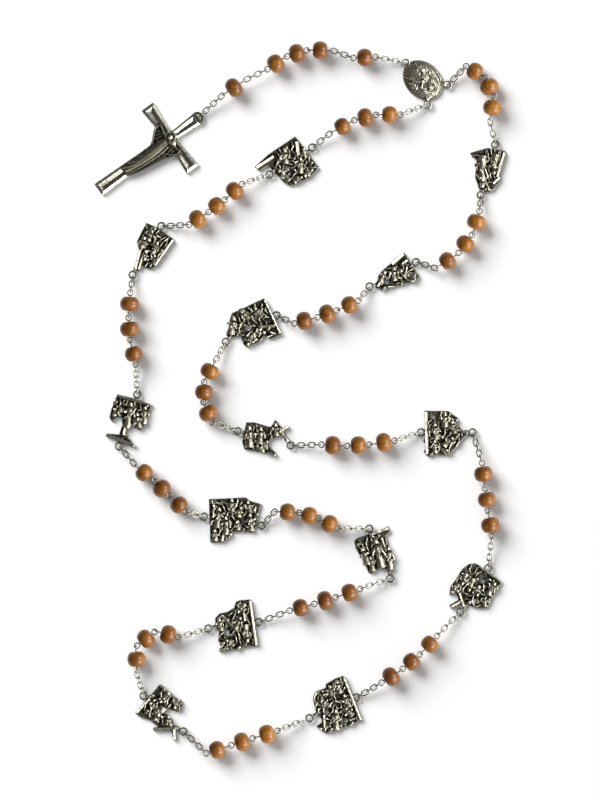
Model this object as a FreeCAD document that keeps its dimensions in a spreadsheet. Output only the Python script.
import FreeCAD, Part
import math
import os

import Sketcher

# A rosary laid flat, face up. +Z is up, +Y runs towards the end where the medal lies, and the
# table is the plane Z = 0. The origin is under the middle of the laid-out chain. Sizes in mm.

V = FreeCAD.Vector
Z_AXIS = V(0, 0, 1)

os.makedirs("parts", exist_ok=True)
doc = FreeCAD.newDocument("rosary")
sheet = doc.addObject("Spreadsheet::Sheet", "Sizes")

SIZES = [
    ("bead_diameter", 7.0),
    ("bead_length", 5.2),
    ("bead_mouth", 2.7),  # diameter of the dimple at each end of the bore
    ("bead_dimple", 0.4),  # depth of that dimple
    ("bore_diameter", 1.1),
    ("wire_diameter", 0.45),
    ("stem_diameter", 0.42),
    ("eye_radius", 0.95),  # eye pin: middle of the loop to the middle of its wire
    ("long_pin", 7.7),  # eye pin: middle of one loop to the middle of the other
    ("short_pin", 7.0),
    ("oval_length", 3.1),  # chain link, over all
    ("oval_width", 2.1),
    ("eyelet_radius", 1.2),  # cast eyelets of the plaques and the medal
    ("eyelet_wire", 0.56),
    ("eyelet_height", 1.2),
    ("neck_diameter", 0.9),
    ("plate_thickness", 1.2),
    ("robe_foot", 1.05),  # relief figures: radius of the robe at the feet and the shoulders
    ("robe_shoulder", 0.6),
    ("robe_height", 1.15),
    ("head_radius", 0.72),
    ("head_height", 1.55),
    ("beam_width", 0.8),
    ("beam_top", 2.2),
    ("sunk", 0.3),  # how far raised details reach into the plate below them
    ("medal_length", 15.2),
    ("medal_width", 12.0),
    ("medal_thickness", 1.4),
    ("medal_rim", 0.9),
    ("medal_rim_top", 1.9),
    ("medal_dome", 1.0),
    ("cross_head", 11.7),  # from the crossing to the head end, the foot and an arm's tip
    ("cross_foot", 30.5),
    ("cross_arm", 13.4),
    ("cross_waist", 2.9),  # width of the bars at the crossing
    ("cross_tip", 5.0),  # width of the arms at their tips
    ("cross_top", 4.4),
    ("cross_base", 4.8),
    ("cross_thickness", 1.7),
    ("cross_panel", 0.5),  # height of the raised panels
    ("cross_panel_margin", 0.6),
    ("halo_radius", 1.8),
    ("halo_wire", 0.7),
    ("halo_height", 2.6),
    ("figure_head", 1.25),  # radius of the robed figure's head
    ("figure_head_height", 2.8),
    ("robe_thickness", 1.6),
    ("bail_radius", 1.75),
    ("bail_wire", 0.9),
    ("opened_gap", 0.86),  # from the wire of the opened hook's eyelet to the link beside it
]
for row, (alias, number) in enumerate(SIZES, start=1):
    sheet.set(f"A{row}", alias)
    sheet.set(f"B{row}", str(number))
    sheet.setAlias(f"B{row}", alias)
doc.recompute()


def size(alias):
    return float(getattr(sheet, alias))


BEAD_AXIS_HEIGHT = size("bead_diameter") / 2
EYELET_HEIGHT = size("eyelet_height")
EYE = size("eye_radius")
OVAL_REACH = size("oval_length") - size("wire_diameter")  # between the wires at a link's two ends
# How deep two hooked pieces reach into each other, from wire to wire
SMALLEST_HOOK = 0.60
HOOK_PER_DEGREE = 0.005  # two pins that meet at an angle have to hook deeper
LARGEST_HOOK = 1.30
LARGEST_OVAL_HOOK = 1.05  # beyond this a link would touch the next but one
OBLIQUE = 0.9  # sine of the angle at which a link may come to a loop that stands on edge

# Where the pieces lie -------------------------------------------------------------------------

TABLE_MIDDLE = (-0.55, 0.08)  # the middle of the places given below

# Rough places of the beads, in order along the chain. The pins' own lengths set the exact places.
LOOP_BEADS = [
    [(59.7, 113.2), (64.6, 107.9), (65.6, 100.9)],
    [(60.2, 61.4), (56.4, 53.8), (50.2, 48.0)],
    [(16.4, 32.8), (8.8, 29.7), (0.9, 27.3)],
    [(-31.6, 10.0), (-33.6, 2.8), (-32.3, -3.8)],
    [(10.9, -15.5), (19.5, -15.5), (28.5, -14.5)],
    [(62.6, -25.5), (63.7, -34.2), (65.0, -43.1)],
    [(44.3, -83.8), (37.8, -90.0), (31.0, -95.0)],
    [(-11.9, -114.9), (-20.5, -117.6), (-29.2, -120.4)],
    [(-56.8, -89.0), (-53.6, -82.1), (-45.0, -80.4)],
    [(-0.2, -71.4), (8.1, -69.0), (16.7, -66.2)],
    [(10.2, -42.8), (2.6, -39.7), (-4.3, -38.6)],
    [(-41.6, -36.6), (-48.1, -30.4), (-53.6, -25.5)],
    [(-57.8, 15.9), (-59.2, 24.5), (-59.2, 33.1)],
    [(-36.1, 62.1), (-29.2, 66.9), (-23.3, 71.8)],
    [(14.0, 94.2), (21.9, 97.3), (30.2, 98.3)],
]
PENDANT_BEADS = {
    "upper": [(21.7, 118.0)],
    "middle": [(5.9, 120.4), (-1.6, 119.4), (-9.3, 115.7)],
    "lower": [(-23.3, 107.6)],
}
SINGLE_BEAD_HEADING = {"upper": 182, "lower": 214}  # degrees from +X, towards the crucifix

MEDAL_PLACE = (41.8, 110.4)
MEDAL_HEADING = 135  # the medal's long axis, towards the pendant's eyelet
MEDAL_EYELETS = {"pendant": (8.3, 0.0), "right": (-7.3, -4.9), "left": (-7.3, 4.9)}

CROSS_PLACE = (-45.35, 90.4)  # the crossing
CROSS_HEADING = 35.8  # from the foot towards the head

# Each plaque: its place, then in mm from there its two eyelets in order along the chain, its
# outline, its pierced holes (x, y, radius), its robed figures (feet, head) and its raised beams.
PLAQUES = [
    {
        "place": (64.3, 79.4),
        "eyelets": [(2.5, 8.7), (-2.5, -8.7)],
        "outline": [(-6.2, 5.9), (-3.9, 6.6), (-0.2, 7.6), (3.3, 7.0), (6.1, 6.5), (4.4, 0.6),
                    (3.3, -2.5), (4.4, -2.3), (3.5, -4.8), (1.7, -7.1), (-0.8, -7.8), (-3.0, -6.8),
                    (-4.5, -2.5), (-3.9, 3.5), (-5.6, 4.6)],
        "holes": [],
        "figures": [(-1.9, 4.9, -2.0, -5.4), (2.7, 5.0, 2.0, -0.5)],
        "beams": [(5.4, 6.0, 3.0, -2.5), (1.8, -4.8, 4.0, -2.6)],
    },
    {
        "place": (31.5, 43.4),
        "eyelets": [(8.0, 4.2), (-8.0, -4.2)],
        "outline": [(3.8, 7.6), (5.2, 5.8), (6.4, 3.3), (9.3, -0.9), (7.9, -2.3), (3.7, -3.5),
                    (-3.0, -5.3), (-3.9, -4.9), (-5.8, -4.8), (-6.3, -3.2), (-4.9, -2.0),
                    (-5.3, -0.9), (-3.8, 1.2), (-2.0, 2.8), (1.0, 5.1)],
        "holes": [(-2.2, -2.6, 0.9)],
        "figures": [(6.6, -0.5, 2.6, 1.2), (-0.7, -0.9, 0.1, 1.8), (-4.0, -1.0, -2.9, 0.5)],
        "beams": [(-0.4, 3.4, 3.2, 6.6), (-4.9, -3.8, -3.0, -0.5), (3.1, 3.5, 4.6, 4.6)],
    },
    {
        "place": (-17.3, 24.6),
        "eyelets": [(8.7, 4.6), (-8.8, -4.5)],
        "outline": [(4.3, 10.6), (10.4, -2.1), (6.9, -3.5), (4.5, -2.6), (2.5, -4.7), (-1.8, -6.3),
                    (-2.8, -5.3), (-3.6, -2.3), (-5.8, -2.8), (-7.3, -3.3), (-8.7, -2.3),
                    (-8.2, -0.4), (-6.2, 1.2), (-7.6, 2.8), (-6.8, 5.4), (-3.0, 7.1)],
        "holes": [(-1.1, 0.4, 1.1)],
        "figures": [(-2.5, 3.6, -3.4, 5.4), (1.9, -0.6, 4.3, -1.0), (-0.6, -2.7, -1.2, -4.9),
                    (-6.9, -1.6, -6.0, 3.4), (3.3, 4.0, 1.5, 6.6)],
        "beams": [(1.3, -3.9, 0.9, -1.6), (2.5, 0.4, 7.5, 1.0)],
    },
    {
        "place": (-12.9, -13.1),
        "eyelets": [(-9.1, 2.4), (9.2, -2.5)],
        "outline": [(-6.2, 5.5), (-3.4, 5.5), (0.6, 4.3), (2.3, 3.9), (3.9, 6.5), (5.2, 4.6),
                    (6.5, 3.4), (8.5, 4.4), (8.3, 3.3), (6.8, 2.4), (8.4, -0.7), (7.4, -1.4),
                    (5.9, 1.3), (4.1, 0.2), (2.1, -0.7), (1.7, -2.7), (4.3, -5.3), (3.4, -6.2),
                    (0.6, -5.1), (-6.9, -3.8), (-7.6, -1.1)],
        "holes": [(0.9, 1.0, 0.55)],
        "figures": [(-5.1, -2.2, -5.1, 2.6), (-1.4, -0.9, -1.2, 3.0), (4.0, 1.2, 3.9, 3.9),
                    (0.4, -3.6, 0.6, -1.4)],
        "beams": [(8.3, 3.9, 5.4, 2.2), (5.6, 2.4, 8.0, -1.2), (-2.9, -2.5, -1.2, -4.0)],
    },
    {
        "place": (50.1, -11.1),
        "eyelets": [(-8.9, 0.0), (8.9, 0.0)],
        "outline": [(-7.8, 7.5), (0.5, 7.4), (3.9, 4.9), (3.4, 2.6), (5.4, 0.9), (7.4, 0.2),
                    (7.0, -0.8), (5.6, -2.2), (3.4, -4.7), (1.0, -7.8), (-7.3, -7.8)],
        "holes": [(-4.9, 5.4, 0.8)],
        "figures": [(-3.8, -1.6, -4.2, 2.3), (-0.7, 2.3, -0.7, 5.8), (2.1, 0.6, 1.7, 3.3),
                    (-1.2, -4.5, 1.8, -2.0), (-4.5, -6.2, -4.3, -3.4)],
        "beams": [(-7.2, 7.0, -6.9, -7.3), (3.9, 0.9, 6.9, -0.4), (-2.0, -5.5, 0.6, -7.1)],
    },
    {
        "place": (59.6, -65.4),
        "eyelets": [(4.8, 7.5), (-4.8, -7.6)],
        "outline": [(0.5, 9.2), (9.5, 2.6), (6.9, -1.5), (4.3, -6.2), (2.2, -6.5), (-0.7, -6.0),
                    (-3.0, -4.5), (-3.5, -6.0), (-4.6, -5.0), (-8.1, -6.5), (-8.7, -5.3),
                    (-5.5, -3.5), (-6.3, -1.0), (-8.7, -1.7), (-8.3, 1.1), (-6.4, 3.7),
                    (-4.3, 7.1), (-2.0, 8.9)],
        "holes": [(-2.6, 6.3, 0.6), (2.6, 3.0, 0.9)],
        "figures": [(-3.4, 5.2, -4.2, 2.4), (-1.0, 3.6, -1.9, 0.2), (1.3, 1.4, 1.0, -1.5),
                    (4.8, -1.2, 6.8, 1.9), (1.0, -3.7, -1.6, -4.0), (-5.9, 1.7, -7.6, -0.4)],
        "beams": [(1.6, 7.9, 8.9, 2.8), (-5.5, -1.2, -3.9, -5.4), (-8.1, -5.9, -4.9, -4.2)],
    },
    {
        "place": (10.9, -106.0),
        "eyelets": [(8.1, 3.5), (-8.1, -3.6)],
        "outline": [(3.4, 11.0), (9.7, -4.3), (7.8, -5.3), (3.0, -7.3), (-2.6, -8.9), (-5.8, -6.5),
                    (-3.9, -5.1), (-4.2, -3.6), (-5.8, -2.0), (-7.0, 2.6), (-5.6, 5.8), (-2.6, 6.8),
                    (-2.6, 8.1), (0.6, 10.0)],
        "holes": [(4.4, -4.4, 0.9), (-2.3, -1.6, 0.9)],
        "figures": [(-2.0, 0.9, -4.2, 2.3), (1.0, -6.9, 0.8, -1.3), (4.8, 0.9, 3.7, 3.7),
                    (2.3, 5.4, 1.3, 8.6), (6.0, -2.0, 4.6, -0.2), (-0.8, 4.5, -1.2, 6.7)],
        "beams": [(3.7, 9.9, 9.1, -4.0), (-3.1, -2.9, -3.0, -6.9)],
    },
    {
        "place": (-47.5, -108.1),
        "eyelets": [(6.8, -6.1), (-6.9, 6.2)],
        "outline": [(-1.4, 10.2), (6.7, 2.8), (5.4, 0.6), (3.3, 1.1), (1.4, 1.7), (-0.3, 0.5),
                    (2.3, -1.1), (3.2, -4.0), (5.2, -4.3), (4.9, -5.6), (3.9, -5.7), (4.2, -9.0),
                    (3.2, -9.1), (2.7, -5.8), (-3.6, -5.9), (-3.7, -4.8), (-1.8, -4.6), (-5.0, -2.1),
                    (-8.1, -1.2), (-9.9, 0.2)],
        "holes": [],
        "figures": [(-0.4, 2.4, -2.9, -1.7), (1.0, 6.9, -1.1, 4.4), (-2.0, 1.2, -4.5, 3.3),
                    (3.9, 4.4, 3.8, 2.5), (1.9, -3.6, 1.6, -1.5)],
        "beams": [(-1.2, 9.6, 5.2, 3.9), (-3.0, -5.2, 4.6, -4.9), (3.5, -4.7, 3.7, -8.6),
                  (-9.2, 0.2, -5.8, 3.9)],
    },
    {
        "place": (-23.4, -77.6),
        "eyelets": [(-8.7, -1.1), (8.7, 1.1)],
        "outline": [(5.9, 8.9), (8.3, -7.1), (4.6, -7.5), (-0.8, -8.6), (-5.0, -9.2), (-5.0, -8.1),
                    (-3.4, -7.2), (-5.4, -5.5), (-5.0, -1.8), (-6.4, -0.2), (-6.4, 2.4), (-5.0, 4.0),
                    (-2.1, 4.7), (0.1, 6.0), (0.7, 8.0), (1.9, 8.6)],
        "holes": [(-2.6, -2.5, 1.1)],
        "figures": [(0.6, -0.4, 2.2, 2.3), (2.6, 7.2, 1.7, 4.8), (-4.6, -1.4, -4.9, 2.0),
                    (-1.2, -7.0, -2.3, -5.6), (3.8, -0.6, 4.7, -5.0)],
        "beams": [(-3.8, 3.3, 0.9, -2.1), (5.7, 8.2, 7.7, -6.7), (-4.8, -8.6, -1.8, -7.9)],
    },
    {
        "place": (27.0, -52.9),
        "eyelets": [(3.6, -8.6), (-3.6, 8.6)],
        "outline": [(-8.9, 4.2), (-8.1, 5.3), (-4.5, 6.6), (-0.2, 7.8), (2.8, 9.5), (3.8, 7.6),
                    (2.1, 6.1), (2.8, 3.3), (4.4, 0.4), (5.1, -2.5), (3.9, -4.6), (4.3, -6.4),
                    (2.8, -6.6), (2.3, -5.2), (0.6, -5.1), (-1.5, -5.9), (-2.3, -6.8), (-4.0, -6.6),
                    (-4.5, -4.8), (-8.3, 1.7)],
        "holes": [],
        "figures": [(0.5, -3.7, -1.5, 4.0), (-4.2, -2.9, -5.8, 1.3), (3.6, -4.9, 2.8, 1.7),
                    (-2.8, -5.4, -3.3, -1.6)],
        "beams": [(-3.4, 6.3, 2.8, 8.5), (0.5, 5.5, 1.8, 1.8)],
    },
    {
        "place": (-23.6, -41.7),
        "eyelets": [(9.9, -1.6), (-9.9, 1.5)],
        "outline": [(-8.4, 7.6), (4.5, 8.2), (5.5, 7.1), (9.7, 5.9), (9.0, 3.6), (8.5, 1.8),
                    (8.3, -0.6), (7.1, -4.0), (3.6, -3.6), (-0.1, -3.8), (-0.8, -5.2), (-3.3, -7.3),
                    (-7.9, -7.3), (-8.0, -3.1), (-8.2, 2.2)],
        "holes": [(3.4, 0.2, 0.6)],
        "figures": [(-2.6, -3.4, -2.6, 0.9), (-5.7, -1.5, -4.9, 3.9), (-0.4, 3.6, -0.5, 6.6),
                    (1.9, 1.9, 2.5, 4.4), (1.3, -2.6, 1.0, -0.4), (5.9, -2.5, 5.7, 1.8),
                    (5.6, 3.4, 5.2, 5.6), (-6.6, -6.0, -6.6, -3.7)],
        "beams": [(-7.5, 7.0, -6.4, 4.6), (-3.2, -4.3, -3.5, -6.6)],
    },
    {
        "place": (-59.7, -7.0),
        "eyelets": [(-3.2, -8.9), (3.1, 8.9)],
        "outline": [(-3.8, 9.1), (1.0, 7.9), (5.4, 6.5), (8.2, 5.4), (5.3, -2.3), (3.7, -3.4),
                    (2.4, -1.8), (1.0, -1.2), (-0.6, -3.2), (-0.4, -5.2), (2.4, -9.1), (-1.6, -7.4),
                    (-4.5, -6.5), (-8.0, -5.1), (-7.1, -4.5), (-3.2, -4.8), (-2.1, -1.4),
                    (-2.4, 1.5), (-4.1, 1.1), (-5.4, -0.6), (-6.6, 0.8), (-6.0, 3.6)],
        "holes": [(1.8, 0.4, 0.5)],
        "figures": [(-0.7, -1.7, 0.9, 5.2), (-3.4, 3.4, -4.8, 1.6), (3.6, -1.6, 3.0, 1.8),
                    (5.2, -0.6, 5.7, 4.2)],
        "beams": [(-3.6, 8.4, 7.5, 5.1), (-1.1, -2.3, -1.5, -4.9), (-7.2, -4.9, 1.6, -8.4)],
    },
    {
        "place": (-53.3, 51.6),
        "eyelets": [(-4.9, -8.4), (5.0, 8.4)],
        "outline": [(-0.2, 9.6), (3.6, 7.9), (6.4, 6.0), (9.4, 3.8), (2.9, -5.4), (1.6, -6.5),
                    (-0.3, -6.0), (-1.5, -5.5), (-2.9, -6.9), (-4.4, -6.9), (-2.9, -2.1),
                    (-2.7, 0.0), (-3.5, 3.0), (-2.1, 6.1)],
        "holes": [(0.6, -4.2, 0.5)],
        "figures": [(1.9, -0.3, 3.6, 2.3), (0.6, 4.0, 1.7, 6.0), (-0.9, -2.7, -0.6, -0.6),
                    (2.5, -4.0, 2.5, -2.1), (-1.9, 1.3, -0.9, 3.9)],
        "beams": [(8.8, 3.7, 2.7, -5.0), (-2.2, 0.5, -3.8, -6.4), (-1.3, -1.1, -2.7, -6.0)],
    },
    {
        "place": (-3.6, 82.4),
        "eyelets": [(-7.4, -4.6), (7.3, 4.7)],
        "outline": [(1.4, 8.6), (5.2, 3.7), (9.7, -2.3), (6.2, -5.8), (-0.2, -8.6), (-2.2, -7.6),
                    (-4.5, -5.1), (-6.0, -3.4), (-8.1, -1.5), (-10.9, -3.4), (-12.6, -1.9),
                    (-7.7, 2.5)],
        "holes": [(-1.3, -2.5, 1.0)],
        "figures": [(3.0, -3.3, 3.2, 0.3), (-2.1, -0.6, -2.2, 3.3), (5.0, -4.2, 6.7, -3.0),
                    (-0.9, -6.4, -3.9, -3.6), (1.4, -6.6, 3.4, -5.4)],
        "beams": [(1.8, 6.8, 2.6, 2.1), (4.2, 3.8, 5.2, 1.3), (-11.6, -2.6, -6.1, 1.2)],
    },
]


# Small helpers ----------------------------------------------------------------------------------


def unit(degrees):
    """Unit vector in the table's plane."""
    angle = math.radians(degrees)
    return V(math.cos(angle), math.sin(angle), 0)


def on_table(x, y, height=0.0):
    """A place on the table, moved so that the laid-out chain has its middle over the origin."""
    return V(x - TABLE_MIDDLE[0], y - TABLE_MIDDLE[1], height)


def turned(vector, degrees):
    return FreeCAD.Rotation(Z_AXIS, degrees).multVec(vector)


def degrees_of(vector):
    return math.degrees(math.atan2(vector.y, vector.x))


def lying(place, along, on_edge=False):
    """Placement of a piece drawn along +X in the XY plane: flat, or stood on its edge."""
    across = Z_AXIS.cross(along).normalize()
    up = along.cross(across).normalize()
    side, face = (up, across.negative()) if on_edge else (across, up)
    return FreeCAD.Placement(place, FreeCAD.Rotation(along, side, face, "XYZ"))


def bind(feature, **expressions):
    """Bind a feature's sizes to the sheet."""
    for name, expression in expressions.items():
        feature.setExpression(name, expression)
    return feature


def primitive(kind, name, place=None, **expressions):
    feature = doc.addObject(f"Part::{kind}", name)
    if place is not None:
        feature.Placement = place
    return bind(feature, **expressions)


def fused(name, features):
    fusion = doc.addObject("Part::MultiFuse", name)
    fusion.Shapes = features
    return fusion


def cut(name, base, tool):
    difference = doc.addObject("Part::Cut", name)
    difference.Base = base
    difference.Tool = tool
    return difference


def pulled_up(name, curve, height):
    """A solid made by pulling a closed curve straight up."""
    plate = doc.addObject("Part::Extrusion", name)
    plate.Base = curve
    plate.DirMode = "Custom"
    plate.Dir = Z_AXIS
    plate.Solid = True
    return bind(plate, LengthFwd=height)


def slab(name, outline, height, bottom=0.0):
    """A plate from a closed outline of (x, y) points, pulled up from the given height."""
    line = doc.addObject("Part::Polygon", name + "_outline")
    line.Nodes = [V(x, y, bottom) for x, y in outline]
    line.Close = True
    return pulled_up(name, line, height)


def copy_of(master, name, place):
    copy = doc.addObject("App::Link", name)
    copy.LinkedObject = master
    copy.Placement = place
    return copy


SUB_PARTS = []


def sub_part(feature, label):
    feature.Label = label
    SUB_PARTS.append(feature)
    return feature


def group_of(copies, label):
    """Separate solids that share one node."""
    group = doc.addObject("Part::Compound", label)
    group.Links = copies
    return sub_part(group, label)


# Master shapes: one bead, the eye pins and one chain link, all drawn along +X ---------------------


def make_bead():
    """A turned bead: rounded rim, a straight bore and a dimple at each mouth of the bore."""
    body = doc.addObject("PartDesign::Body", "bead")
    profile = body.newObject("Sketcher::SketchObject", "bead_profile")
    plane = [feature for feature in body.Origin.OriginFeatures if feature.Role == "XY_Plane"][0]
    profile.AttachmentSupport = [(plane, "")]
    profile.MapMode = "FlatFace"
    half = size("bead_length") / 2
    floor = half - size("bead_dimple")
    mouth = size("bead_mouth") / 2
    bore = size("bore_diameter") / 2
    rim = size("bead_diameter") / 2
    # the rim is an arc through both mouths and the bead's widest point
    radius = (half**2 + (rim - mouth) ** 2) / (2 * (rim - mouth))
    middle = V(0, rim - radius, 0)
    right_end = math.atan2(mouth - middle.y, half)
    rim_circle = Part.Circle(middle, Z_AXIS, radius)
    rim_arc = Part.ArcOfCircle(rim_circle, right_end, math.pi - right_end)
    corners = [V(half, mouth), V(floor, bore), V(-floor, bore), V(-half, mouth)]
    profile.addGeometry(rim_arc, False)
    for start, end in zip(corners, corners[1:]):
        profile.addGeometry(Part.LineSegment(start, end), False)
    arc, dimple_right, bore_line, dimple_left = 0, 1, 2, 3
    profile.addConstraint(
        [
            Sketcher.Constraint("Coincident", arc, 1, dimple_right, 1),
            Sketcher.Constraint("Coincident", dimple_right, 2, bore_line, 1),
            Sketcher.Constraint("Coincident", bore_line, 2, dimple_left, 1),
            Sketcher.Constraint("Coincident", dimple_left, 2, arc, 2),
            Sketcher.Constraint("PointOnObject", arc, 3, -2),
        ]
    )
    floor_at = "Sizes.bead_length / 2 - Sizes.bead_dimple"
    rise = "((Sizes.bead_diameter - Sizes.bead_mouth) / 2)"
    arc_radius = f"(pow(Sizes.bead_length / 2; 2) + pow({rise}; 2)) / (2 * {rise})"
    origin = (-1, 1)
    driven = [
        (("DistanceX", *origin, arc, 1, half), "Sizes.bead_length / 2"),
        (("DistanceY", *origin, arc, 1, mouth), "Sizes.bead_mouth / 2"),
        (("DistanceY", *origin, arc, 2, mouth), "Sizes.bead_mouth / 2"),
        (("DistanceX", *origin, dimple_right, 2, floor), floor_at),
        (("DistanceX", dimple_left, 1, *origin, floor), floor_at),
        (("DistanceY", *origin, dimple_right, 2, bore), "Sizes.bore_diameter / 2"),
        (("DistanceY", *origin, bore_line, 2, bore), "Sizes.bore_diameter / 2"),
        (("Radius", arc, radius), arc_radius),
    ]
    for constraint, expression in driven:
        number = profile.addConstraint(Sketcher.Constraint(*constraint))
        profile.setExpression(f"Constraints[{number}]", expression)
    turning = body.newObject("PartDesign::Revolution", "bead_turning")
    turning.Profile = profile
    turning.ReferenceAxis = (profile, ["H_Axis"])
    turning.Angle = 360
    body.Tip = turning
    return body


def make_pin(name, length, start_on_edge, end_on_edge):
    """A straight wire with a closed loop at each end; a loop lies flat or stands on its edge."""
    stem = primitive(
        "Cylinder",
        name + "_stem",
        FreeCAD.Placement(V(), FreeCAD.Rotation(V(0, 1, 0), 90)),
        Radius="Sizes.stem_diameter / 2",
        Height=f"Sizes.{length} - 2 * Sizes.eye_radius",
    )
    bind(stem, **{"Placement.Base.x": f"Sizes.eye_radius - Sizes.{length} / 2"})
    loops = []
    for end, side, on_edge in (("start", -1, start_on_edge), ("end", 1, end_on_edge)):
        turn = FreeCAD.Rotation(V(1, 0, 0), 90 if on_edge else 0)
        loop = primitive(
            "Torus",
            f"{name}_{end}",
            FreeCAD.Placement(V(), turn),
            Radius1="Sizes.eye_radius",
            Radius2="Sizes.wire_diameter / 2",
        )
        loops.append(bind(loop, **{"Placement.Base.x": f"{side} * Sizes.{length} / 2"}))
    return fused(name, [stem] + loops)


def make_oval_link():
    """An oval chain link: two straight sides and two half-round bows."""
    straight = "Sizes.oval_length - Sizes.oval_width"
    bow_radius = "(Sizes.oval_width - Sizes.wire_diameter) / 2"
    pieces = []
    for side in (-1, 1):
        rod = primitive(
            "Cylinder",
            f"oval_side_{side + 1}",
            FreeCAD.Placement(V(), FreeCAD.Rotation(V(0, 1, 0), 90)),
            Radius="Sizes.wire_diameter / 2",
            Height=straight,
        )
        bind(rod, **{"Placement.Base.x": f"-({straight}) / 2"})
        pieces.append(bind(rod, **{"Placement.Base.y": f"{side} * {bow_radius}"}))
        bow = primitive(
            "Torus",
            f"oval_bow_{side + 1}",
            FreeCAD.Placement(V(), FreeCAD.Rotation(Z_AXIS, -90 * side)),
            Radius1=bow_radius,
            Radius2="Sizes.wire_diameter / 2",
            Angle3="180",
        )
        pieces.append(bind(bow, **{"Placement.Base.x": f"{side} * ({straight}) / 2"}))
    return fused("oval_link", pieces)


BEAD = make_bead()
OVAL_LINK = make_oval_link()
PINS = {
    (length, start, end): make_pin(f"{length}_{int(start)}{int(end)}", length, start, end)
    for length in ("long_pin", "short_pin")
    for start in (False, True)
    for end in (False, True)
}


# Stringing the beads ------------------------------------------------------------------------------


def strung(places):
    """Middle and heading of each pin of a group, and the pins' length and spacing.

    The pins hook into each other, so each bead lies midway between two hooks. The spacing is
    the one that fits the rough places best, as far as the pins' lengths and the play allow.
    """
    points = [on_table(x, y, BEAD_AXIS_HEIGHT) for x, y in places]
    first = degrees_of(points[1] - points[0])
    second = degrees_of(points[2] - points[1])
    bend = (second - first + 180) % 360 - 180
    headings = [first - bend / 2, first + bend / 2, second + bend / 2]
    mean = ((points[1] - points[0]).Length + (points[2] - points[1]).Length) / 2
    wanted = mean / math.cos(math.radians(bend / 2))
    length, spacing = "short_pin", 0.0
    smallest_hook = SMALLEST_HOOK + HOOK_PER_DEGREE * abs(bend)
    for name in ("short_pin", "long_pin"):
        reach = size(name) + 2 * EYE
        allowed = min(max(wanted, reach - LARGEST_HOOK), reach - smallest_hook)
        if spacing == 0.0 or abs(allowed - wanted) < abs(spacing - wanted):
            length, spacing = name, allowed
    middle = points[1]
    before = middle - (unit(headings[0]) + unit(headings[1])) * (spacing / 2)
    after = middle + (unit(headings[1]) + unit(headings[2])) * (spacing / 2)
    return list(zip([before, middle, after], headings)), length


class EndLoop:
    """A pin's end loop: it lies flat or stands on edge, whichever suits the link hooked in it."""

    def __init__(self, pins, length, side):
        middle, heading = pins[0 if side < 0 else -1]
        self.heading = unit(heading)
        self.middle = middle + self.heading * (side * size(length) / 2)
        self.on_edge = False

    def faces(self, place):
        """Whether a link that comes from there can hook in without wedging against the pin."""
        towards = (place - self.middle).normalize()
        return not self.on_edge or abs(towards.dot(self.heading.cross(Z_AXIS))) < OBLIQUE

    def wire_towards(self, place):
        """The point of the loop's wire that lies towards a place, within the loop's plane."""
        normal = self.heading.cross(Z_AXIS) if self.on_edge else Z_AXIS
        towards = place - self.middle
        towards = (towards - normal * towards.dot(normal)).normalize()
        return self.middle + towards * EYE


def run_of_links(name, start, loop, free_start=False):
    """A straight run of links from a point to a pin's end loop; they alternate on edge and flat.

    All hook equally deep. With a free start the first link only reaches the starting point and
    hooks into nothing there. Returns the placements and the point where the loop is hooked.
    """
    count = 0
    depth = 0.0
    while depth < SMALLEST_HOOK or not loop.faces(start):
        count += 1
        last_on_edge = count % 2 == 1
        loop.on_edge = not last_on_edge
        end = loop.wire_towards(start)
        run = end - start
        hooks = count if free_start else count + 1
        depth = (count * OVAL_REACH - run.Length) / hooks
    print(f"{name}: {count} links over {run.Length:.2f} mm, hooked {depth:.2f} mm deep")
    assert depth <= (LARGEST_OVAL_HOOK if count > 2 else LARGEST_HOOK), name
    along = V(run).normalize()
    first = OVAL_REACH / 2 - (0 if free_start else depth)
    step = OVAL_REACH - depth
    places = [
        lying(start + along * (first + index * step), along, on_edge=index % 2 == 0)
        for index in range(count)
    ]
    return places, end


def hang_links(name, eyelet, loop, eyelet_radius, clearance=0.0):
    """A run of links from an eyelet to a pin's end loop.

    Returns the placements, the points where the eyelet and the loop are hooked, and the level
    direction away from the eyelet.
    """
    outwards = V(loop.middle.x - eyelet.x, loop.middle.y - eyelet.y).normalize()
    hook = eyelet + outwards * eyelet_radius
    start = hook + outwards * clearance
    places, end = run_of_links(name, start, loop, free_start=clearance > 0)
    return places, hook, end, outwards


# Castings -----------------------------------------------------------------------------------------


def nearest_on_outline(outline, point):
    """The point of a closed outline that lies nearest to a given point."""
    corners = [V(x, y) for x, y in outline]
    best = corners[0]
    for start, end in zip(corners, corners[1:] + corners[:1]):
        edge = end - start
        share = max(0.0, min(1.0, (point - start).dot(edge) / edge.dot(edge)))
        candidate = start + edge * share
        if (candidate - point).Length < (best - point).Length:
            best = candidate
    return best


def eyelet_at(name, x, y, inner):
    """A cast ring lying flat, and a short neck from it to a point just inside its casting."""
    middle = V(x, y, EYELET_HEIGHT)
    ring = primitive(
        "Torus",
        name + "_ring",
        FreeCAD.Placement(middle, FreeCAD.Rotation()),
        Radius1="Sizes.eyelet_radius",
        Radius2="Sizes.eyelet_wire / 2",
    )
    reach = V(inner.x - x, inner.y - y, 0)
    inward = V(reach).normalize()
    start = V(x, y, EYELET_HEIGHT * 0.75) + inward * size("eyelet_radius")
    neck = primitive(
        "Cylinder",
        name + "_neck",
        FreeCAD.Placement(start, FreeCAD.Rotation(Z_AXIS, inward)),
        Radius="Sizes.neck_diameter / 2",
    )
    neck.Height = max(reach.Length - size("eyelet_radius"), 0) + size("neck_diameter")
    return [ring, neck]


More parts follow.
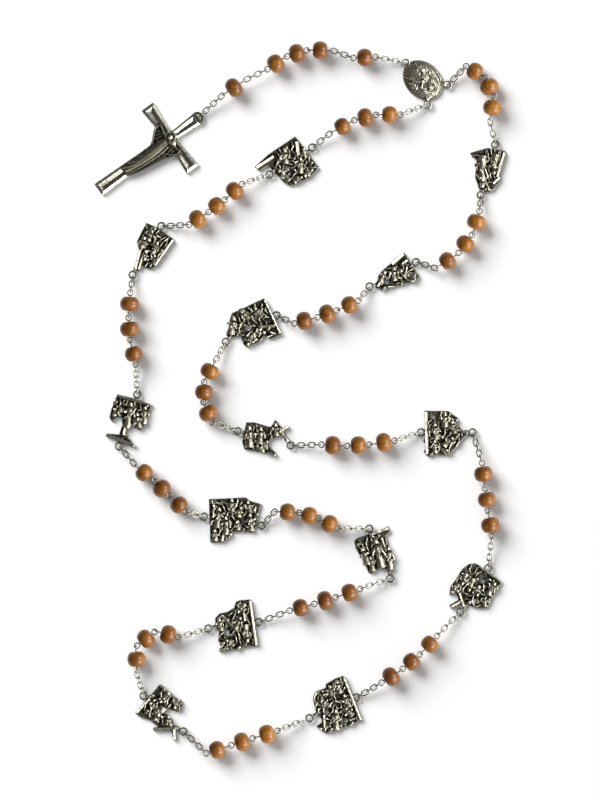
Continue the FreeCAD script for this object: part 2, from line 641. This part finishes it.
def robed_figure(name, feet_x, feet_y, head_x, head_y):
    """A robe as a cone lying half sunk in the plate, and a round head at its narrow end."""
    feet, head = V(feet_x, feet_y), V(head_x, head_y)
    along = head - feet
    robe = primitive(
        "Cone",
        name + "_robe",
        FreeCAD.Placement(feet, FreeCAD.Rotation(Z_AXIS, along)),
        Radius1="Sizes.robe_foot",
        Radius2="Sizes.robe_shoulder",
    )
    robe.Height = along.Length
    bind(robe, **{"Placement.Base.z": "Sizes.robe_height"})
    skull = primitive(
        "Sphere",
        name + "_head",
        FreeCAD.Placement(head, FreeCAD.Rotation()),
        Radius="Sizes.head_radius",
    )
    bind(skull, **{"Placement.Base.z": "Sizes.head_height"})
    return [robe, skull]


def raised_beam(name, start_x, start_y, end_x, end_y):
    """A square bar from one point to another, standing on the plate."""
    start, end = V(start_x, start_y), V(end_x, end_y)
    along = end - start
    aside = turned(along, -90).normalize() * (size("beam_width") / 2)
    beam = primitive(
        "Box",
        name,
        FreeCAD.Placement(start + aside, FreeCAD.Rotation(Z_AXIS, degrees_of(along))),
        Width="Sizes.beam_width",
        Height="Sizes.beam_top - Sizes.sunk",
    )
    beam.Length = along.Length
    return bind(beam, **{"Placement.Base.z": "Sizes.sunk"})


def make_plaque(number, plaque):
    label = f"station_{number:02d}"
    pieces = [slab(label + "_plate", plaque["outline"], "Sizes.plate_thickness")]
    for side, (x, y) in enumerate(plaque["eyelets"]):
        edge = nearest_on_outline(plaque["outline"], V(x, y))
        pieces += eyelet_at(f"{label}_eyelet_{side}", x, y, edge)
    for index, ends in enumerate(plaque["figures"]):
        pieces += robed_figure(f"{label}_figure_{index}", *ends)
    for index, ends in enumerate(plaque["beams"]):
        pieces.append(raised_beam(f"{label}_beam_{index}", *ends))
    casting = fused(label + "_casting", pieces)
    for index, (x, y, radius) in enumerate(plaque["holes"]):
        drill = primitive(
            "Cylinder",
            f"{label}_hole_{index}",
            FreeCAD.Placement(V(x, y, -1), FreeCAD.Rotation()),
            Height="Sizes.plate_thickness + 3",
        )
        drill.Radius = radius
        casting = cut(f"{label}_pierced_{index}", casting, drill)
    casting.Placement = FreeCAD.Placement(on_table(*plaque["place"]), FreeCAD.Rotation())
    return sub_part(casting, label)


def oval_plate(name, margin, height, bottom=0.0):
    """A plate in the medal's oval, made smaller all round by a margin."""
    curve = doc.addObject("Part::Ellipse", name + "_curve")
    curve.Placement = FreeCAD.Placement(V(0, 0, bottom), FreeCAD.Rotation())
    bind(
        curve,
        MajorRadius=f"Sizes.medal_length / 2 - {margin}",
        MinorRadius=f"Sizes.medal_width / 2 - {margin}",
    )
    return pulled_up(name, curve, height)


def make_medal():
    """An oval medal with a raised rim, a domed face and three eyelets; its length is along X."""
    rim = oval_plate("medal_blank", "0", "Sizes.medal_rim_top")
    floor = size("medal_thickness")
    well = oval_plate("medal_well", "Sizes.medal_rim", "Sizes.medal_rim_top", floor)
    dome = primitive(
        "Ellipsoid",
        "medal_dome",
        Radius1="Sizes.medal_dome",
        Radius2="Sizes.medal_length / 2 - 2 * Sizes.medal_rim",
        Radius3="Sizes.medal_width / 2 - 2 * Sizes.medal_rim",
    )
    dome.Angle1 = 0
    bind(dome, **{"Placement.Base.z": "Sizes.medal_thickness - Sizes.sunk"})
    pieces = [cut("medal_dish", rim, well), dome]
    for name, (x, y) in MEDAL_EYELETS.items():
        pieces += eyelet_at(f"medal_{name}", x, y, V(0.7 * x, 0.7 * y))
    medal = fused("medal", pieces)
    turn = FreeCAD.Rotation(Z_AXIS, MEDAL_HEADING)
    medal.Placement = FreeCAD.Placement(on_table(*MEDAL_PLACE), turn)
    return sub_part(medal, "centre_medal")


def flared_bar(name, reach, base_width, tip_width, turn):
    """One bar of the cross, from the crossing outwards, wider at its tip, with a raised panel."""
    margin = size("cross_panel_margin")
    bars = []
    for layer, start, inset in (("bar", 0.0, 0.0), ("panel", base_width / 2 + margin, margin)):
        near, far = base_width / 2 - inset, tip_width / 2 - inset
        end = reach - inset
        outline = [(start, -near), (end, -far), (end, far), (start, near)]
        if layer == "bar":
            bar = slab(f"{name}_bar", outline, "Sizes.cross_thickness")
        else:
            bottom = size("cross_thickness") - size("sunk")
            bar = slab(f"{name}_panel", outline, "Sizes.cross_panel + Sizes.sunk", bottom)
        bar.Placement = FreeCAD.Placement(V(), FreeCAD.Rotation(Z_AXIS, turn))
        bars.append(bar)
    return bars


def make_crucifix():
    """One casting, drawn with its head towards +X: bars, robed figure with a halo, and bail."""
    waist = size("cross_waist")
    pieces = []
    pieces += flared_bar("head", size("cross_head"), waist, size("cross_top"), 0)
    pieces += flared_bar("left_arm", size("cross_arm"), waist, size("cross_tip"), 90)
    pieces += flared_bar("foot", size("cross_foot"), waist + 0.6, size("cross_base"), 180)
    pieces += flared_bar("right_arm", size("cross_arm"), waist, size("cross_tip"), 270)
    # the long robe, with wide sleeves hanging from the outstretched arms
    robe = [(-1.6, -1.9), (1.0, -5.4), (0.8, -6.2), (-3.3, -5.8), (-5.7, -5.4), (-8.0, -3.0),
            (-18.8, -2.2), (-19.4, 0.2), (-19.1, 2.1), (-9.0, 2.1), (-3.6, 4.6), (-2.2, 5.6),
            (1.0, 5.4), (-1.6, 1.9)]
    floor = size("cross_thickness") - size("sunk")
    pieces.append(slab("robe", robe, "Sizes.robe_thickness", floor))
    boss = primitive(
        "Cylinder", "halo_boss", Radius="Sizes.halo_radius", Height="Sizes.halo_height"
    )
    halo = primitive(
        "Torus", "halo", Radius1="Sizes.halo_radius", Radius2="Sizes.halo_wire / 2"
    )
    bind(halo, **{"Placement.Base.z": "Sizes.halo_height"})
    head = primitive("Sphere", "figure_head", Radius="Sizes.figure_head")
    bind(head, **{"Placement.Base.z": "Sizes.figure_head_height"})
    bail = primitive(
        "Torus",
        "bail",
        FreeCAD.Placement(V(), FreeCAD.Rotation(Z_AXIS, -90)),
        Radius1="Sizes.bail_radius",
        Radius2="Sizes.bail_wire / 2",
        Angle3="180",
    )
    bind(bail, **{"Placement.Base.x": "Sizes.cross_head"})
    bind(bail, **{"Placement.Base.z": "Sizes.eyelet_height"})
    shoulder = primitive(
        "Box",
        "bail_shoulder",
        Length="2 * Sizes.sunk",
        Width="2 * Sizes.bail_radius + Sizes.bail_wire",
        Height="Sizes.bail_wire",
    )
    bind(shoulder, **{"Placement.Base.x": "Sizes.cross_head - Sizes.sunk"})
    bind(shoulder, **{"Placement.Base.y": "-Sizes.bail_radius - Sizes.bail_wire / 2"})
    bind(shoulder, **{"Placement.Base.z": "Sizes.eyelet_height - Sizes.bail_wire / 2"})
    crucifix = fused("cross", pieces + [boss, halo, head, bail, shoulder])
    turn = FreeCAD.Rotation(Z_AXIS, CROSS_HEADING)
    crucifix.Placement = FreeCAD.Placement(on_table(*CROSS_PLACE), turn)
    return sub_part(crucifix, "crucifix")


for number, plaque in enumerate(PLAQUES, start=1):
    make_plaque(number, plaque)
make_medal()
make_crucifix()


# The chain ----------------------------------------------------------------------------------------

HINGES = []


def hinge(name, parent, child, point, onwards):
    """A piece hooked over a flat-lying wire lifts about that wire: a level axis across the run."""
    axis = V(onwards.x, onwards.y).normalize().cross(Z_AXIS)
    HINGES.append((name, parent, child, point, axis))


def loop_hinge(name, parent, child, loop, hook, onwards):
    """At a pin's end loop: a link slides round inside a loop that stands on edge."""
    if not loop.on_edge:
        hinge(name, parent, child, hook, onwards)
        return
    ahead = loop.heading if loop.heading.dot(onwards) > 0 else loop.heading.negative()
    hinge(name, parent, child, loop.middle, ahead)


def plaque_eyelet(number, side):
    plaque = PLAQUES[number - 1]
    x, y = plaque["eyelets"][side]
    return on_table(*plaque["place"], EYELET_HEIGHT) + V(x, y)


def medal_eyelet(name):
    return on_table(*MEDAL_PLACE, EYELET_HEIGHT) + turned(V(*MEDAL_EYELETS[name]), MEDAL_HEADING)


def put_links(label, places):
    names = [f"{label}_link_{index}" for index in range(len(places))]
    return [copy_of(OVAL_LINK, name, place) for name, place in zip(names, places)]


def put_pins_and_beads(label, pins, length, loops):
    """Copies of the pins, each with its bead; within a group a loop on edge meets a flat one."""
    wires, beads = [], []
    for index, (middle, heading) in enumerate(pins):
        start = loops[0].on_edge if index == 0 else index % 2 == 0
        end = loops[1].on_edge if index == len(pins) - 1 else index % 2 == 0
        place = lying(middle, unit(heading))
        wires.append(copy_of(PINS[length, start, end], f"{label}_pin_{index}", place))
        beads.append(copy_of(BEAD, f"{label}_bead_{index}", place))
    return wires, beads


# The loop. Group 1 follows the medal's right eyelet, then plaque 1, group 2 and so on; group 15
# returns to the medal's left eyelet. Two half chains hang from the medal: groups 1 to 7 with
# plaques 1 to 7, and groups 15 to 8 with plaques 14 to 8.
LAST_GROUP = len(LOOP_BEADS)
LAST_OF_RIGHT_HALF = 7

for number, rough_places in enumerate(LOOP_BEADS, start=1):
    pins, length = strung(rough_places)
    loops = [EndLoop(pins, length, -1), EndLoop(pins, length, 1)]
    body = f"beads_{number:02d}"
    own_links = []
    for side, end in enumerate(("before", "after")):
        name = f"chain_{number:02d}_{end}"
        plaque = number - 1 + side
        at_medal = plaque in (0, LAST_GROUP)
        opened = (number, plaque) == (LAST_OF_RIGHT_HALF + 1, LAST_OF_RIGHT_HALF)
        if at_medal:
            medal_side = "right" if plaque == 0 else "left"
            eyelet = medal_eyelet(medal_side)
        else:
            eyelet = plaque_eyelet(plaque, 1 - side)
        clearance = size("opened_gap") if opened else 0.0
        places, hook, loop_hook, outwards = hang_links(
            name, eyelet, loops[side], size("eyelet_radius"), clearance
        )
        if at_medal:
            links = f"medal_links_{medal_side}"
            group_of(put_links(links, places), links)
            hinge(f"medal_{medal_side}_eyelet", "centre_medal", links, hook, outwards)
            loop_hinge(f"{body}_end_loop", links, body, loops[side], loop_hook, outwards)
            continue
        own_links += put_links(name, places)
        if opened:
            continue
        # in the right half a group hangs on the plaque before it, in the left half on the next
        station = f"station_{plaque:02d}"
        eyelet_name = f"{station}_{'second' if side == 0 else 'first'}_eyelet"
        if (side == 0) == (number <= LAST_OF_RIGHT_HALF):
            hinge(eyelet_name, station, body, hook, outwards)
        else:
            hinge(eyelet_name, body, station, hook, outwards.negative())
    wires, beads = put_pins_and_beads(f"group_{number:02d}", pins, length, loops)
    group_of(wires + own_links, f"chain_{number:02d}")
    group_of(beads, body)

# The pendant, from the medal down to the crucifix
pendant = {}
for name, rough_places in PENDANT_BEADS.items():
    if len(rough_places) == 3:
        pins, length = strung(rough_places)
    else:
        middle = on_table(*rough_places[0], BEAD_AXIS_HEIGHT)
        pins, length = [(middle, SINGLE_BEAD_HEADING[name])], "long_pin"
    pendant[name] = (pins, length, [EndLoop(pins, length, -1), EndLoop(pins, length, 1)])

first_loop = pendant["upper"][2][0]
places, hook, loop_hook, outwards = hang_links(
    "pendant_links_upper", medal_eyelet("pendant"), first_loop, size("eyelet_radius")
)
group_of(put_links("pendant_links_upper", places), "pendant_links_upper")
hinge("medal_pendant_eyelet", "centre_medal", "pendant_links_upper", hook, outwards)
loop_hinge(
    "pendant_upper_first_loop",
    "pendant_links_upper",
    "pendant_beads_upper",
    first_loop,
    loop_hook,
    outwards,
)

for above, below in (("upper", "middle"), ("middle", "lower")):
    start_loop, end_loop = pendant[above][2][1], pendant[below][2][0]
    start = start_loop.wire_towards(end_loop.middle)
    links = f"pendant_links_{below}"
    places, end = run_of_links(links, start, end_loop)
    group_of(put_links(links, places), links)
    body_above, body_below = f"pendant_beads_{above}", f"pendant_beads_{below}"
    along = end - start
    loop_hinge(f"pendant_{above}_last_loop", body_above, links, start_loop, start, along)
    loop_hinge(f"pendant_{below}_first_loop", links, body_below, end_loop, end, along)

last_loop = pendant["lower"][2][1]
bail = on_table(*CROSS_PLACE, EYELET_HEIGHT) + unit(CROSS_HEADING) * size("cross_head")
places, hook, loop_hook, outwards = hang_links(
    "crucifix_links", bail, last_loop, size("bail_radius")
)
group_of(put_links("crucifix_links", places), "crucifix_links")
downwards = outwards.negative()
loop_hinge(
    "pendant_lower_last_loop",
    "pendant_beads_lower",
    "crucifix_links",
    last_loop,
    loop_hook,
    downwards,
)
hinge("crucifix_bail", "crucifix_links", "crucifix", hook, downwards)

for name, (pins, length, loops) in pendant.items():
    wires, beads = put_pins_and_beads(f"pendant_{name}", pins, length, loops)
    group_of(wires, f"pendant_pins_{name}")
    group_of(beads, f"pendant_beads_{name}")


# Check and write ----------------------------------------------------------------------------------

doc.recompute()
for feature in doc.Objects:
    assert "Invalid" not in feature.State and "Error" not in feature.State, feature.Name

whole = FreeCAD.BoundBox()
for feature in SUB_PARTS:
    shape = feature.Shape
    assert not shape.isNull() and shape.isValid(), feature.Label
    whole.add(shape.BoundBox)
    shape.exportStep(f"parts/{feature.Label}.step")

solids = sum(len(feature.Shape.Solids) for feature in SUB_PARTS)
print(f"{len(SUB_PARTS)} sub-parts, {solids} solids, {len(HINGES)} hinges")
print(f"from {whole.XMin:.2f} {whole.YMin:.2f} {whole.ZMin:.2f}")
print(f"to {whole.XMax:.2f} {whole.YMax:.2f} {whole.ZMax:.2f}")
for name, parent, child, point, axis in HINGES:
    where = f"{point.x:.3f} {point.y:.3f} {point.z:.3f}"
    print(f"hinge {name} {parent} {child} {where} {axis.x:.5f} {axis.y:.5f} {axis.z:.5f}")
